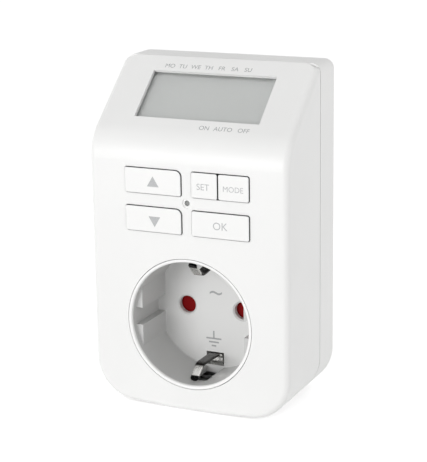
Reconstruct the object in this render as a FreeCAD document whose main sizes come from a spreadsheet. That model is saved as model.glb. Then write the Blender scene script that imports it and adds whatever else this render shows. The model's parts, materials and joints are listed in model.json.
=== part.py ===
"""Plug in timer switch: a white case with a round earthed socket in front, a display on its slope
and a round plug base with two pins behind.

Each sub-part is drawn from the front face of the case (y = 0), its middle plane (x = 0) and its
underside (z = 0), and is then set back so that the origin lies under the middle of the whole part.
Three frames repeat: the case's own, one on the socket's axis, and one on the display slope.
A cutting tool runs 1 mm past a face that it opens.
"""
import FreeCAD, Part
import os
import re

import Sketcher

# Driving dimensions in millimetres
SIZES = {
    # case
    "wall": 2.2,
    "side_room": 11.0,
    "bottom_room": 6.5,
    "foot_half": 7.0,
    "crown_rise": 1.3,
    "corner_radius": 13.0,
    "top_radius": 3.0,
    "front_edge": 1.8,
    "back_edge": 1.8,
    "cover_depth": 25.5,
    "slope_rise": 22.0,
    "bend_radius": 13.0,
    "bend_room": 7.9,
    "seam_gap": 0.35,
    "lip_height": 2.0,
    "lip_wall": 1.0,
    "fit_gap": 0.15,
    "rear_clear": 0.3,
    # socket
    "mouth_radius": 19.5,
    "ring_wall": 1.0,
    "ring_gap": 0.2,
    "mouth_edge": 0.6,
    "cup_wall": 2.0,
    "recess_depth": 18.5,
    "floor_wall": 2.0,
    "pad_rise": 2.5,
    "pad_start": 2.5,
    "groove_width": 5.5,
    "entry_radius": 2.8,
    "entry_edge": 0.5,
    "slot_drop": 2.0,
    "slot_rise": 1.7,
    "pin_spacing": 19.0,
    "spigot_radius": 2.5,
    "ear_half": 3.4,
    # shutter
    "rotor_gap": 0.3,
    "rotor_wall": 1.8,
    "rotor_play": 0.05,
    "hub_radius": 4.4,
    "paddle_radius": 4.0,
    "arm_half": 2.2,
    "spring_space": 2.0,
    "spring_radius": 3.3,
    "spring_wire": 0.22,
    "spring_turns": 2.5,
    "spring_gap": 0.05,
    # contacts
    "carrier_wall": 1.6,
    "rim_wall": 1.5,
    "chamber_depth": 7.8,
    "chamber_half": 3.9,
    "chamber_wall": 1.2,
    "strip": 0.8,
    "strip_gap": 0.4,
    "blade_half": 3.0,
    "blade_gap": 2.2,
    "blade_flare": 0.7,
    "blade_lead": 1.6,
    "blade_play": 0.6,
    "strap_half": 2.0,
    "feed_width": 5.6,
    "tail_length": 4.5,
    "clip_half": 2.75,
    "clip_strip": 0.7,
    "clip_rest": 17.2,
    "relief_start": 5.5,
    "clip_reach": 13.9,
    "clip_root": 0.5,
    "clip_peak": 8.0,
    "crest_half": 1.2,
    "clip_tip": 2.2,
    "tip_inset": 1.0,
    "clip_bend": 1.0,
    "slot_play": 0.25,
    # plug
    "base_room": 0.4,
    "base_wall": 2.0,
    "base_flat": 1.6,
    "base_depth": 17.0,
    "base_edge": 1.0,
    "base_flange": 1.2,
    "base_fit": 0.1,
    "end_wall": 3.0,
    "key_play": 0.25,
    "pin_radius": 2.4,
    "pin_length": 19.0,
    "pin_tip": 1.4,
    "pin_neck": 0.3,
    "neck_proud": 0.2,
    "collar_radius": 3.4,
    "collar_height": 3.5,
    "rivet_radius": 1.5,
    "rivet_rim": 0.7,
    "rivet_head": 0.8,
    "strip_proud": 0.1,
    "strip_play": 0.1,
    "foot_reach": 5.0,
    "hook_reach": 2.0,
    "hook_inset": 2.0,
    # keys
    "key_height": 7.7,
    "row_gap": 4.05,
    "keys_room": 6.65,
    "key_inner": 1.7,
    "key_split": 10.35,
    "key_outer": 20.3,
    "split_gap": 0.35,
    "key_gap": 0.2,
    "key_proud": 0.5,
    "key_corner": 0.6,
    "key_round": 1.8,
    "key_edge": 0.25,
    "key_play": 0.1,
    "flange_wall": 1.0,
    "flange_reach": 0.9,
    "plunger_radius": 1.4,
    "plunger_length": 3.6,
    "key_travel": 0.5,
    "stem_spare": 0.2,
    "stem_radius": 1.3,
    "switch_height": 3.4,
    "switch_half": 2.4,
    "stem_hold": 0.9,
    "well_spare": 0.3,
    "reset_radius": 0.7,
    "reset_flange": 1.15,
    "reset_gap": 0.15,
    "reset_sink": 0.6,
    "reset_rim": 1.5,
    "reset_rim_depth": 0.3,
    # display
    "window_height": 18.3,
    "window_top_room": 5.9,
    "lens_sink": 1.0,
    "lens_wall": 1.2,
    "lens_rim": 1.2,
    "lens_fit": 0.1,
    "cell_gap": 0.2,
    "cell_wall": 2.4,
    "cell_rim": 1.5,
    "cell_top_rim": 1.9,
    "cell_low_rim": 0.3,
    "cell_ledge": 2.6,
    "contact_low": 2.3,
    "contact_high": 0.5,
    "frame_rim": 3.3,
    "frame_low": 3.9,
    "frame_high": 3.1,
    "frame_back": 2.4,
    "light_rim": 2.0,
    "light_low": 0.6,
    "display_clear": 0.4,
    "display_board_low": 4.3,
    "display_board_high": 3.8,
    "display_ear_half": 3.0,
    "display_ear_rise": 3.0,
    "chip_half": 5.0,
    "chip_depth": 1.6,
    "crystal_radius": 1.5,
    "crystal_length": 8.0,
    "crystal_left": 9.0,
    "ribbon_half": 8.0,
    "ribbon_wall": 0.3,
    "ribbon_gap": 0.1,
    "ribbon_start": 3.3,
    "ribbon_hold": 4.0,
    "board_wall": 1.2,
    # boards and fasteners
    "power_board_wall": 1.6,
    "key_board_room": 3.8,
    "key_board_rim": 1.0,
    "key_board_rise": 1.8,
    "power_board_room": 2.3,
    "power_board_low": 3.0,
    "power_board_height": 39.0,
    "post_radius": 2.4,
    "post_room": 1.6,
    "post_gap": 0.4,
    "post_rise": 1.4,
    "post_inset": 3.5,
    "boss_radius": 3.2,
    "boss_sink": 0.3,
    "boss_drop": 8.5,
    "boss_spread": 5.0,
    "boss_lift": 2.0,
    "screw_radius": 1.5,
    "screw_play": 0.1,
    "screw_head": 2.6,
    "screw_head_height": 2.2,
    "screw_length": 12.0,
    "screw_seat": 6.0,
    "pilot_spare": 0.5,
    "small_screw": 0.9,
    "small_head": 1.9,
    "small_head_height": 1.3,
    "small_length": 6.0,
    "carrier_screw_length": 14.0,
    "display_screw_length": 5.0,
    "rear_screw_length": 3.6,
    # components on the power board, placed from its left end and its lower edge
    "relay_left": 6.5,
    "relay_low": 4.5,
    "relay_width": 19.0,
    "relay_height": 15.4,
    "relay_depth": 15.5,
    "film_left": 30.5,
    "film_low": 24.0,
    "film_width": 18.0,
    "film_height": 6.0,
    "film_depth": 12.0,
    "rectifier_left": 22.5,
    "rectifier_low": 24.0,
    "rectifier_width": 6.0,
    "rectifier_height": 6.0,
    "rectifier_depth": 3.0,
    "can_left": 36.0,
    "can_low": 13.5,
    "can_radius": 5.0,
    "can_depth": 12.0,
    "disc_left": 46.0,
    "disc_low": 11.0,
    "disc_radius": 4.5,
    "disc_wall": 3.6,
    "disc_lift": 1.0,
    "lead_radius": 0.4,
    "lead_spread": 2.5,
    "fuse_left": 7.0,
    "fuse_low": 26.0,
    "fuse_radius": 2.0,
    "fuse_length": 12.0,
    "fuse_lift": 1.0,
    # back-up cell and header on the key board
    "cell_across": 12.0,
    "cell_drop": 2.0,
    "cell_radius": 6.0,
    "cell_depth": 3.6,
    "tab_lift": 0.8,
    "tab_wall": 0.4,
    "tab_half": 2.0,
    "tab_reach": 3.0,
    "tab_gap": 1.0,
    "header_left": 3.5,
    "header_low": 9.5,
    "header_pitch": 2.54,
    "header_pin_half": 0.32,
    "header_block_half": 1.25,
    "header_block_depth": 2.6,
}
HEADER_PINS = 5

# Shares of a screw head's radius that its cross recess takes, lengthwise and across
CROSS_LONG = 0.55
CROSS_THIN = 0.12

doc = FreeCAD.newDocument("timer_switch")
sheet = doc.addObject("Spreadsheet::Sheet", "Dims")
for row, (size_name, size) in enumerate(SIZES.items(), start=1):
    sheet.set(f"A{row}", size_name)
    sheet.set(f"B{row}", str(size))
    sheet.setAlias(f"B{row}", size_name)
doc.recompute()

SIZE_WORD = re.compile(r"\b(" + "|".join(SIZES) + r")\b")

# Places worked out from the driving dimensions, as expressions
CUP = "(mouth_radius + cup_wall)"
HALF = f"({CUP} + side_room)"
AXIS = f"({CUP} + bottom_room)"
LOW_ROW = f"({AXIS} + {CUP} + keys_room + key_height / 2)"
HIGH_ROW = f"({LOW_ROW} + key_height + row_gap)"
MID_ROW = f"(({LOW_ROW} + {HIGH_ROW}) / 2)"
BEND = f"({HIGH_ROW} + key_height / 2 + bend_room)"
TOP = f"({BEND} + slope_rise)"
SLOPE = "sqrt(cover_depth ^ 2 + slope_rise ^ 2)"
ALONG_Y = f"(cover_depth / {SLOPE})"
ALONG_Z = f"(slope_rise / {SLOPE})"

FLOOR_BACK = "(recess_depth + floor_wall)"
ROTOR_FRONT = f"({FLOOR_BACK} + rotor_gap)"
ROTOR_BACK = f"({ROTOR_FRONT} + rotor_wall)"
CARRIER_FRONT = f"({ROTOR_BACK} + spring_space)"
CARRIER_BACK = f"({CARRIER_FRONT} + carrier_wall)"
CHAMBER_END = f"({CARRIER_BACK} + chamber_depth)"
STRAP_BACK = f"({CHAMBER_END} + strip)"
BAR_FRONT = f"({STRAP_BACK} + strip_gap)"
BAR_BACK = f"({BAR_FRONT} + strip)"
REAR_INNER = f"({BAR_BACK} + rear_clear)"
BACK = f"({REAR_INNER} + wall)"
SEAM_BACK = "(cover_depth + seam_gap)"
FLANGE_SEAT = f"({REAR_INNER} + wall / 2)"
BASE_END = f"({BACK} + base_depth)"
HOOK = f"({BASE_END} - hook_inset)"
BASE_INNER = f"({BASE_END} - end_wall)"
RIVET_SEAT = f"({BASE_INNER} - collar_height)"
PIN_END = f"({BASE_END} + pin_length)"
PIN_X = "(pin_spacing / 2)"
BASE_RADIUS = f"({PIN_X} + chamber_half + strip + base_room + base_wall + base_flat)"
EARTH_STRIP = f"({BASE_RADIUS} + strip_proud - strip)"
SET_BACK = f"(({PIN_END} - key_proud) / 2)"

FLANGE_FRONT = "(wall + key_play)"
FLANGE_BACK = f"({FLANGE_FRONT} + flange_wall)"
PLUNGER_END = f"({FLANGE_BACK} + plunger_length)"
SWITCH_FRONT = f"({PLUNGER_END} + key_travel + stem_spare)"
KEY_BOARD = f"({SWITCH_FRONT} + switch_height)"
KEY_BOARD_BACK = f"({KEY_BOARD} + board_wall)"
KEY_BOARD_HALF = f"({HALF} - wall - key_board_room)"
POWER_BOARD = f"({CHAMBER_END} - power_board_wall)"
POWER_BOARD_HALF = f"({HALF} - wall - power_board_room)"
POWER_BOARD_LOW = f"({AXIS} + {CUP} + power_board_low)"
POWER_BOARD_TOP = f"({POWER_BOARD_LOW} + power_board_height)"

UPPER_BOSS_X = f"({HALF} - wall - boss_radius + boss_sink)"
UPPER_BOSS_Z = f"({TOP} - boss_drop)"
LOWER_BOSS_X = f"({HALF} - corner_radius + boss_spread)"
LOWER_BOSS_Z = "(corner_radius - boss_lift)"
SCREW_SEAT = "(cover_depth + screw_seat)"
EAR_X = f"({CUP} + post_room + post_radius)"
KEY_POST_X = "(key_outer + flange_reach + post_radius + post_gap)"
KEY_POST_LOW = f"({LOW_ROW} - key_height / 2)"
KEY_POST_HIGH = f"({HIGH_ROW} + key_height / 2 + post_rise)"
KEY_BOARD_LOW = f"({KEY_POST_LOW} - post_radius - key_board_rim)"
KEY_BOARD_TOP = f"({KEY_POST_HIGH} + key_board_rise)"
POWER_POST_X = f"({POWER_BOARD_HALF} - post_radius - post_gap)"
POWER_POST_LOW = f"({POWER_BOARD_LOW} + post_inset)"
POWER_POST_HIGH = f"({POWER_BOARD_TOP} - post_inset)"

DISPLAY_HALF = f"({UPPER_BOSS_X} - boss_radius - display_clear)"
WINDOW_HALF = f"({DISPLAY_HALF} - frame_rim)"
WINDOW_TOP = f"({SLOPE} - window_top_room)"
WINDOW_LOW = f"({WINDOW_TOP} - window_height)"
WINDOW_MID = f"({WINDOW_TOP} - window_height / 2)"
FRAME_FRONT = "(-wall - lens_fit)"
CELL_FRONT = "(-lens_sink - lens_wall - cell_gap)"
CELL_HALF = f"({WINDOW_HALF} + cell_rim)"
CELL_BACK = f"({CELL_FRONT} - cell_wall)"
DISPLAY_BOARD = f"({CELL_BACK} - frame_back)"
DISPLAY_BOARD_BACK = f"({DISPLAY_BOARD} - board_wall)"
DISPLAY_EAR_X = f"({DISPLAY_HALF} + post_radius + ring_gap)"
DISPLAY_EAR_S = f"({WINDOW_LOW} + display_ear_rise)"

CASE_BOSSES = (("upper", UPPER_BOSS_X, UPPER_BOSS_Z), ("lower", LOWER_BOSS_X, LOWER_BOSS_Z))
KEY_POSTS = (("low", KEY_POST_X, KEY_POST_LOW), ("high", KEY_POST_X, KEY_POST_HIGH))
POWER_POSTS = (("low", POWER_POST_X, POWER_POST_LOW), ("high", POWER_POST_X, POWER_POST_HIGH))
EAR_POSTS = (("ear", EAR_X, AXIS),)
EARS_ON_AXIS = (("ear", EAR_X, "0"),)
DISPLAY_POSTS = (("display", DISPLAY_EAR_X, DISPLAY_EAR_S),)
PINS_ON_AXIS = (("pin", PIN_X, "0"),)

SIDES = (("left", "-1"), ("right", "1"))
ENDS = (("lower", "-1"), ("upper", "1"))
AXES = {"x": (0, 1, 0, 90), "y": (1, 0, 0, -90), "z": (0, 0, 1, 0)}


def linked(text):
    """The expression with each size name pointed at the sheet."""
    return SIZE_WORD.sub(r"Dims.\1", text)


def bind(item, name, text):
    item.setExpression(name, linked(text))


def value(text):
    """What an expression comes to, as a plain number."""
    return float(sheet.evalExpression(linked(text)))


def box(name, across, deep, high):
    """A block between a pair of expressions on each axis."""
    item = doc.addObject("Part::Box", name)
    for side, axis, (low, top) in zip(("Length", "Width", "Height"), "xyz", (across, deep, high)):
        bind(item, side, f"({top}) - ({low})")
        bind(item, f"Placement.Base.{axis}", low)
    return item


def rod(name, axis, radius, low, high, at=("0", "0")):
    """A round bar along an axis, centred at a pair of expressions on the other two."""
    item = doc.addObject("Part::Cylinder", name)
    turn_x, turn_y, turn_z, angle = AXES[axis]
    turn = FreeCAD.Rotation(FreeCAD.Vector(turn_x, turn_y, turn_z), angle)
    item.Placement = FreeCAD.Placement(FreeCAD.Vector(), turn)
    bind(item, "Radius", radius)
    bind(item, "Height", f"({high}) - ({low})")
    places = list(at)
    places.insert("xyz".index(axis), low)
    for letter, place in zip("xyz", places):
        bind(item, f"Placement.Base.{letter}", place)
    return item


def fuse(name, *shapes):
    """One shape from several, or a holder for a single one."""
    kind = "Part::MultiFuse" if len(shapes) > 1 else "Part::Compound"
    item = doc.addObject(kind, name)
    if len(shapes) > 1:
        item.Shapes = list(shapes)
        item.Refine = True
    else:
        item.Links = list(shapes)
    return item


def group(name, *shapes):
    """Several separate solids that share one sub-part."""
    item = doc.addObject("Part::Compound", name)
    item.Links = list(shapes)
    return item


def cut(name, base, *tools):
    item = doc.addObject("Part::Cut", name)
    item.Base = base
    item.Tool = fuse(name + "_tools", *tools)
    item.Refine = True
    return item


def common(name, base, tool):
    item = doc.addObject("Part::Common", name)
    item.Base = base
    item.Tool = tool
    item.Refine = True
    return item


def sketch(body, name, plane, offset="0"):
    """A sketch on one of the body's own origin planes, moved along the plane's normal."""
    item = body.newObject("Sketcher::SketchObject", name)
    origin = next(part for part in body.Origin.OriginFeatures if part.Role == plane)
    item.AttachmentSupport = [(origin, "")]
    item.MapMode = "FlatFace"
    bind(item, "AttachmentOffset.Base.z", offset)
    return item


def pinned(item, geometry, point, place):
    """Binds a point of the sketch to a pair of expressions."""
    for kind, text in zip(("DistanceX", "DistanceY"), place):
        rule = Sketcher.Constraint(kind, -1, 1, geometry, point, value(text))
        bind(item, f"Constraints[{item.addConstraint(rule)}]", text)


def polygon(item, places):
    """A closed outline whose corners are bound to pairs of expressions."""
    corners = [FreeCAD.Vector(value(across), value(up), 0) for across, up in places]
    count = len(corners)
    for number, corner in enumerate(corners):
        item.addGeometry(Part.LineSegment(corner, corners[(number + 1) % count]))
    for number, place in enumerate(places):
        item.addConstraint(Sketcher.Constraint("Coincident", number, 2, (number + 1) % count, 1))
        pinned(item, number, 1, place)
    return item


def pad(body, outline, length, reverse=False):
    item = body.newObject("PartDesign::Pad", outline.Name + "_pad")
    item.Profile = outline
    item.Reversed = reverse
    bind(item, "Length", length)
    return item


def pocket(body, outline, length, reverse=False):
    item = body.newObject("PartDesign::Pocket", outline.Name + "_pocket")
    item.Profile = outline
    item.Reversed = reverse
    bind(item, "Length", length)
    doc.recompute()
    assert item.Shape.Volume < item.BaseFeature.Shape.Volume, item.Name
    return item


def turned(body, outline):
    """Turns an outline about the body's depth axis."""
    item = body.newObject("PartDesign::Revolution", outline.Name + "_turned")
    item.Profile = outline
    axis = next(part for part in body.Origin.OriginFeatures if part.Role == "Y_Axis")
    item.ReferenceAxis = (axis, [""])
    item.Angle = 360
    return item


def straight_along(edge, axis):
    """Whether an edge runs straight along an axis."""
    ends = [vertex.Point for vertex in edge.Vertexes]
    if edge.Curve.TypeId != "Part::GeomLine" or len(ends) < 2:
        return False
    run = ends[1] - ends[0]
    return abs(abs(run[axis]) - run.Length) < 1e-6


def rounded(body, name, radius, chosen, kind="Fillet"):
    """Rounds or bevels the edges of the body's last feature that the test picks out."""
    doc.recompute()
    base = body.Tip
    edges = [f"Edge{n}" for n, edge in enumerate(base.Shape.Edges, start=1) if chosen(edge)]
    assert edges, name
    item = body.newObject("PartDesign::" + kind, name)
    item.Base = (base, edges)
    bind(item, "Radius" if kind == "Fillet" else "Size", radius)
    return item


def in_case(item, set_back="0"):
    bind(item, "Placement.Base.y", f"0 - {set_back}")
    return item


def on_axis(item, set_back="0"):
    bind(item, "Placement.Base.y", f"0 - {set_back}")
    bind(item, "Placement.Base.z", AXIS)
    return item


def on_slope(item, set_back="0"):
    """The slope's frame: x across, y up the slope from the bend, z out of it."""
    item.Placement = FreeCAD.Placement(FreeCAD.Vector(), FreeCAD.Rotation(FreeCAD.Vector(1, 0, 0), 1))
    bind(item, "Placement.Rotation.Angle", "atan(slope_rise / cover_depth)")
    bind(item, "Placement.Base.y", f"0 - {set_back}")
    bind(item, "Placement.Base.z", BEND)
    return item


SUBPARTS = []


def subpart(label, shape, frame=in_case):
    """Names a finished sub-part and sets it in the row frame."""
    if shape.TypeId in ("Part::Box", "Part::Cylinder"):
        shape.Label = label + "_solid"
        shape = fuse(label, shape)
    shape.Label = label
    frame(shape, SET_BACK)
    SUBPARTS.append(shape)
    return shape


def case_block(name, inset, front, back, sloped=False):
    """The case's form between two depths, drawn in on all sides by an inset.

    The underside has a flat foot in the middle and rises a little to its large corners.
    The slope starts at the bend and reaches the top at the seam."""
    body = doc.addObject("PartDesign::Body", name)
    half = f"({HALF} - {inset})"
    side_low = f"({inset} + crown_rise)"
    top = f"({TOP} - {inset})"
    outline = sketch(body, name + "_outline", "XZ_Plane", f"0 - ({front})")
    polygon(outline, [
        ("-foot_half", inset),
        ("foot_half", inset),
        (half, side_low),
        (half, top),
        (f"-{half}", top),
        (f"-{half}", side_low),
    ])
    pad(body, outline, f"({back}) - ({front})", reverse=True)
    side = value(half)
    for part, height, radius in (
        ("corners", side_low, f"corner_radius - {inset}"),
        ("shoulders", top, f"max(top_radius - {inset}; 0.4)"),
    ):
        level = value(height)
        rounded(body, f"{name}_{part}", radius,
                lambda e: straight_along(e, 1) and at_height(e, level) and at_side(e, side))
    if sloped:
        slope_cut(body, name, inset, half)
        face = value(front)
        if abs(face - value(inset)) < 1e-6:
            rounded(body, name + "_bend", f"bend_radius - {inset}",
                    lambda e: straight_along(e, 0) and is_bend(e, face))
    return body


def slope_cut(body, name, inset, half):
    """Cuts a case block down to the display slope, drawn in by the same inset."""
    ramp = sketch(body, name + "_ramp", "YZ_Plane", f"0 - {half} - 1")
    reach = "(2 * cover_depth)"
    low_y = f"({inset} * {ALONG_Z} - {reach} * {ALONG_Y})"
    low_z = f"({BEND} - {inset} * {ALONG_Y} - {reach} * {ALONG_Z})"
    high_y = f"({inset} * {ALONG_Z} + {reach} * {ALONG_Y})"
    high_z = f"({BEND} - {inset} * {ALONG_Y} + {reach} * {ALONG_Z})"
    polygon(ramp, [(low_y, low_z), (high_y, high_z), (low_y, high_z)])
    pocket(body, ramp, f"2 * {half} + 2", reverse=True)


def at_height(edge, height):
    return all(abs(vertex.Z - height) < 1e-6 for vertex in edge.Vertexes)


def at_side(edge, half):
    return all(abs(abs(vertex.X) - half) < 1e-6 for vertex in edge.Vertexes)


def is_bend(edge, depth):
    """The edge across the face where the slope leaves the upright front."""
    middle = value(MID_ROW)
    top = value(TOP) - value("slope_rise") / 2
    return all(abs(vertex.Y - depth) < 1e-6 and middle < vertex.Z < top for vertex in edge.Vertexes)


def at_depth(edge, depth):
    return all(abs(vertex.Y - depth) < 1e-6 for vertex in edge.Vertexes)


def is_ring(edge, radius, depth):
    """A full circle about the depth axis at a given radius and depth."""
    if edge.Curve.TypeId != "Part::GeomCircle":
        return False
    return abs(edge.Curve.Radius - radius) < 1e-6 and abs(edge.Curve.Center.y - depth) < 1e-6


def stands_at(edge, across, up):
    return all(abs(vertex.X - across) < 1e-6 and abs(vertex.Z - up) < 1e-6 for vertex in edge.Vertexes)


def side_pair(sign, near, far):
    """A span on one side of the middle plane, as low and high expressions."""
    if sign == "1":
        return near, far
    return f"0 - ({far})", f"0 - ({near})"


def both_sides(places):
    """Each place on the left and on the right, with a name of its own."""
    return [
        (f"{tag}_{side}", (f"{sign} * {across}", up))
        for tag, across, up in places
        for side, sign in SIDES
    ]


def small_holes(name, axis, places, low, high):
    """Holes for the small screws at a set of places."""
    return [
        rod(f"{name}_{tag}", axis, "small_screw + screw_play", low, high, at)
        for tag, at in both_sides(places)
    ]


def both_ways(half):
    return f"0 - ({half})", half


# The keys: left end, right end, row, corner radius at the upper right, flange reach at each end
KEYS = {
    "up": ("-key_outer", "-key_inner", HIGH_ROW, "key_round", "flange_reach", "flange_reach"),
    "down": ("-key_outer", "-key_inner", LOW_ROW, "key_round", "flange_reach", "flange_reach"),
    "set": ("key_inner", "(key_split - split_gap / 2)", HIGH_ROW, "key_corner", "flange_reach", "0"),
    "mode": ("(key_split + split_gap / 2)", "key_outer", HIGH_ROW, "key_corner", "0", "flange_reach"),
    "ok": ("key_inner", "key_outer", LOW_ROW, "key_corner", "flange_reach", "flange_reach"),
}
PAIR_OPENING = ("key_inner", "key_outer", HIGH_ROW, "key_corner")


def key_block(name, outline_of, grow, front, back, edge=None):
    """A key's outline, grown by a gap, between two depths."""
    left, right, row, round_corner = outline_of[:4]
    body = doc.addObject("PartDesign::Body", name)
    low_x = f"{left} - {grow}"
    high_x = f"{right} + {grow}"
    low_z = f"{row} - key_height / 2 - {grow}"
    high_z = f"{row} + key_height / 2 + {grow}"
    outline = sketch(body, name + "_outline", "XZ_Plane", f"0 - ({front})")
    polygon(outline, [(low_x, low_z), (high_x, low_z), (high_x, high_z), (low_x, high_z)])
    pad(body, outline, f"({back}) - ({front})", reverse=True)
    far_x = value(high_x)
    far_z = value(high_z)
    others = ((value(low_x), value(low_z)), (value(low_x), far_z), (far_x, value(low_z)))
    rounded(body, name + "_round", f"{round_corner} + {grow}",
            lambda e: straight_along(e, 1) and stands_at(e, far_x, far_z))
    rounded(body, name + "_corners", f"key_corner + {grow}",
            lambda e: straight_along(e, 1) and any(stands_at(e, *other) for other in others))
    if edge:
        face = value(front)
        rounded(body, name + "_edge", edge, lambda e: at_depth(e, face))
    return body


def front_cover():
    """Front face, side walls, display slope, and the posts that carry what is inside."""
    outer = case_block("cover_outer", "0", "0", "cover_depth", sloped=True)
    seam = value("cover_depth")
    rounded(outer, "cover_front_edge", "front_edge", lambda e: is_front_rim(e, seam))
    core = case_block("cover_core", "wall", "wall", "cover_depth + 1", sloped=True)
    shell = cut("cover_shell", outer, core)
    posts = []
    holes = small_holes("ear_pilot", "y", EAR_POSTS,
                        f"{CARRIER_BACK} - carrier_screw_length - pilot_spare", "recess_depth + 1")
    holes += small_holes("key_pilot", "y", KEY_POSTS,
                         f"{KEY_BOARD_BACK} - small_length - pilot_spare", f"{KEY_BOARD} + 1")
    for tag, at in both_sides(CASE_BOSSES):
        posts.append(rod(f"cover_boss_{tag}", "y", "boss_radius", "wall / 2", "cover_depth", at))
        holes.append(rod(f"cover_pilot_{tag}", "y", "screw_radius + screw_play",
                         f"{SCREW_SEAT} - screw_length - pilot_spare", "cover_depth + 1", at))
    for places, end in ((KEY_POSTS, KEY_BOARD), (EAR_POSTS, "recess_depth")):
        for tag, at in both_sides(places):
            posts.append(rod(f"post_{tag}", "y", "post_radius", "wall / 2", end, at))
    carried = common("cover_posts", fuse("cover_post_set", *posts), outer)
    display_posts = [
        rod(f"post_{tag}", "z", "post_radius", DISPLAY_BOARD, "0 - wall / 2", at)
        for tag, at in both_sides(DISPLAY_POSTS)
    ]
    display_pilots = small_holes("display_pilot", "z", DISPLAY_POSTS, f"{DISPLAY_BOARD} - 1",
                                 "0 - wall - post_gap")
    solid = fuse("cover_solid", shell, carried, on_slope(group("display_posts", *display_posts)))
    window = box("window_opening", both_ways(WINDOW_HALF), (WINDOW_LOW, WINDOW_TOP), ("0 - wall - 1", "1"))
    seat = box("lens_seat", both_ways(f"({WINDOW_HALF} + lens_rim)"),
               (f"{WINDOW_LOW} - lens_rim", f"{WINDOW_TOP} + lens_rim"), ("0 - wall - 1", "0 - lens_sink"))
    slope_tools = on_slope(fuse("slope_tools", window, seat, *display_pilots))
    openings = [
        key_block(f"{key}_opening", KEYS[key], "key_gap", "0 - 1", "wall + 1")
        for key in ("up", "down", "ok")
    ]
    openings.append(key_block("pair_opening", PAIR_OPENING, "key_gap", "0 - 1", "wall + 1"))
    middle = ("0", MID_ROW)
    openings.append(rod("reset_hole", "y", "reset_radius + reset_gap", "0 - 1", "wall + 1", middle))
    openings.append(rod("reset_rim", "y", "reset_rim", "0 - 1", "reset_rim_depth", middle))
    openings.append(rod("socket_hole", "y", "mouth_radius + ring_wall + ring_gap",
                        "0 - 1", "wall + 1", ("0", AXIS)))
    subpart("front_cover", cut("front_cover", solid, slope_tools, *openings, *holes))


def is_front_rim(edge, seam):
    """The outer rim of the front face, the bend and the slope, without the edge at the seam."""
    if edge.Curve.TypeId == "Part::GeomLine" and straight_along(edge, 0):
        return at_depth(edge, 0) and at_height(edge, 0)
    ends = [vertex.Y for vertex in edge.Vertexes]
    if straight_along(edge, 1) or min(ends) > seam - 1e-6 or max(ends) > seam - 1e-6:
        return False
    return True


def rear_housing():
    """Back wall and rim, the locating lip, screw bosses and the stepped hole of the plug base."""
    outer = case_block("rear_outer", "0", SEAM_BACK, BACK)
    back = value(BACK)
    rounded(outer, "rear_back_edge", "back_edge", lambda e: at_depth(e, back))
    core = case_block("rear_core", "wall", f"{SEAM_BACK} - 1", REAR_INNER)
    shell = cut("rear_shell", outer, core)
    lip_start = "(cover_depth - lip_height)"
    lip_end = f"({SEAM_BACK} + lip_height)"
    lip_inner = "(wall + fit_gap + lip_wall)"
    lip = cut(
        "rear_lip",
        fuse("rear_lip_solid",
             case_block("rear_lip_outer", "(wall + fit_gap)", lip_start, lip_end, sloped=True),
             case_block("rear_lip_root", "(wall - fit_gap)", f"{SEAM_BACK} + fit_gap", lip_end)),
        case_block("rear_lip_inner", lip_inner, f"{lip_start} - 1", f"{lip_end} + 1"),
        *(rod(f"lip_relief_{tag}", "y", "boss_radius + fit_gap", f"{lip_start} - 1", "cover_depth", at)
          for tag, at in both_sides(CASE_BOSSES[:1])),
    )
    bosses = [
        rod(f"power_post_{tag}", "y", "post_radius", CHAMBER_END, f"{BACK} - wall / 2", at)
        for tag, at in both_sides(POWER_POSTS)
    ]
    holes = small_holes("power_pilot", "y", POWER_POSTS, f"{CHAMBER_END} - 1",
                        f"{POWER_BOARD} + rear_screw_length + strip_play")
    for tag, at in both_sides(CASE_BOSSES):
        bosses.append(rod(f"rear_boss_{tag}", "y", "boss_radius", "cover_depth", f"{BACK} - wall / 2", at))
        holes.append(rod(f"rear_clear_{tag}", "y", "screw_radius + screw_play", "cover_depth - 1",
                         f"{BACK} + 1", at))
        holes.append(rod(f"rear_sink_{tag}", "y", "screw_head + 2 * screw_play", SCREW_SEAT,
                         f"{BACK} + 1", at))
    seat = fuse(
        "base_seat",
        rod("base_seat_hole", "y", f"{BASE_RADIUS} + base_fit", f"{REAR_INNER} - 1", f"{BACK} + 1"),
        rod("base_seat_step", "y", f"{BASE_RADIUS} + base_flange + base_fit", f"{REAR_INNER} - 1",
            FLANGE_SEAT),
        *(box(f"base_seat_notch_{end}", STRIP_CHANNEL, (f"{REAR_INNER} - 1", f"{BACK} + 1"),
              side_pair(way, STRIP_FLOOR, STRIP_ROOF)) for end, way in ENDS),
    )
    solid = fuse("rear_solid", shell, lip, *bosses)
    subpart("rear_housing", cut("rear_housing", solid, on_axis(seat), *holes))


def flats(name, half, radius, front, back, groove):
    """Blocks beyond a pair of side flats, with a gap in the middle of each for a groove or key."""
    blocks = []
    for side, sign in SIDES:
        for end, way in ENDS:
            blocks.append(box(f"{name}_{side}_{end}", side_pair(sign, half, f"({radius} + 1)"),
                              (front, back), side_pair(way, f"{groove} / 2", f"({radius} + 1)")))
    return blocks


STRIP_CHANNEL = ("0 - clip_half - slot_play", "clip_half + slot_play")
STRIP_FLOOR = f"({EARTH_STRIP} - strip_play)"
STRIP_ROOF = f"({EARTH_STRIP} + strip + slot_play)"


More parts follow.
